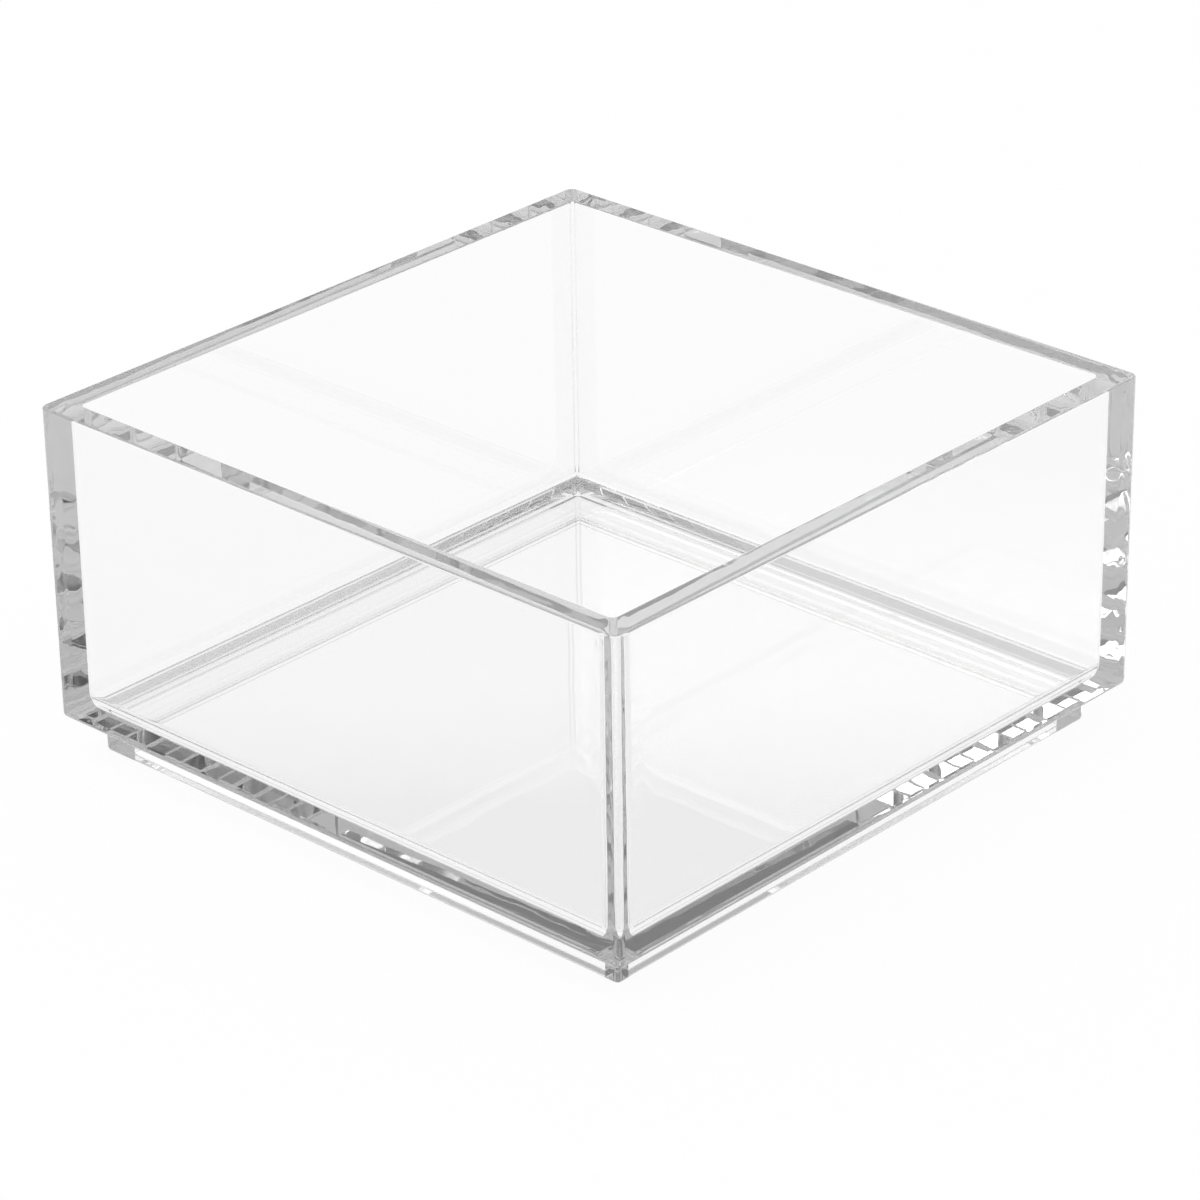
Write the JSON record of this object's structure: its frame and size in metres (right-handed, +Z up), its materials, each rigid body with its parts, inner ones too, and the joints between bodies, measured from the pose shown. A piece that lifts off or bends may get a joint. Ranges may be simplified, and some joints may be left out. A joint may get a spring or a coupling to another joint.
{
  "type": "stacking desk tray",
  "caption": "Open-topped clear square desk tray with thick mitred walls, a flat floor and a recessed foot that nests in the rim of a like tray below.",
  "frame": {"origin": "middle of the square that the foot stands on, on the resting surface", "axes": "+Z up out of the open top, +X towards the right wall, +Y towards the rear wall"},
  "size_m": [0.1524, 0.1524, 0.0762],
  "materials": {
    "clear_acrylic": "water-clear, polished",
    "clear_cement": "water-clear, cured smooth"
  },
  "bodies": {
    "root": {"front_wall": "clear_acrylic", "right_wall": "clear_acrylic", "rear_wall": "clear_acrylic", "left_wall": "clear_acrylic", "floor_plate": "clear_acrylic", "front_foot_rail": "clear_acrylic", "right_foot_rail": "clear_acrylic", "rear_foot_rail": "clear_acrylic", "left_foot_rail": "clear_acrylic", "cement_cove": "clear_cement"}
  },
  "joints": []
}
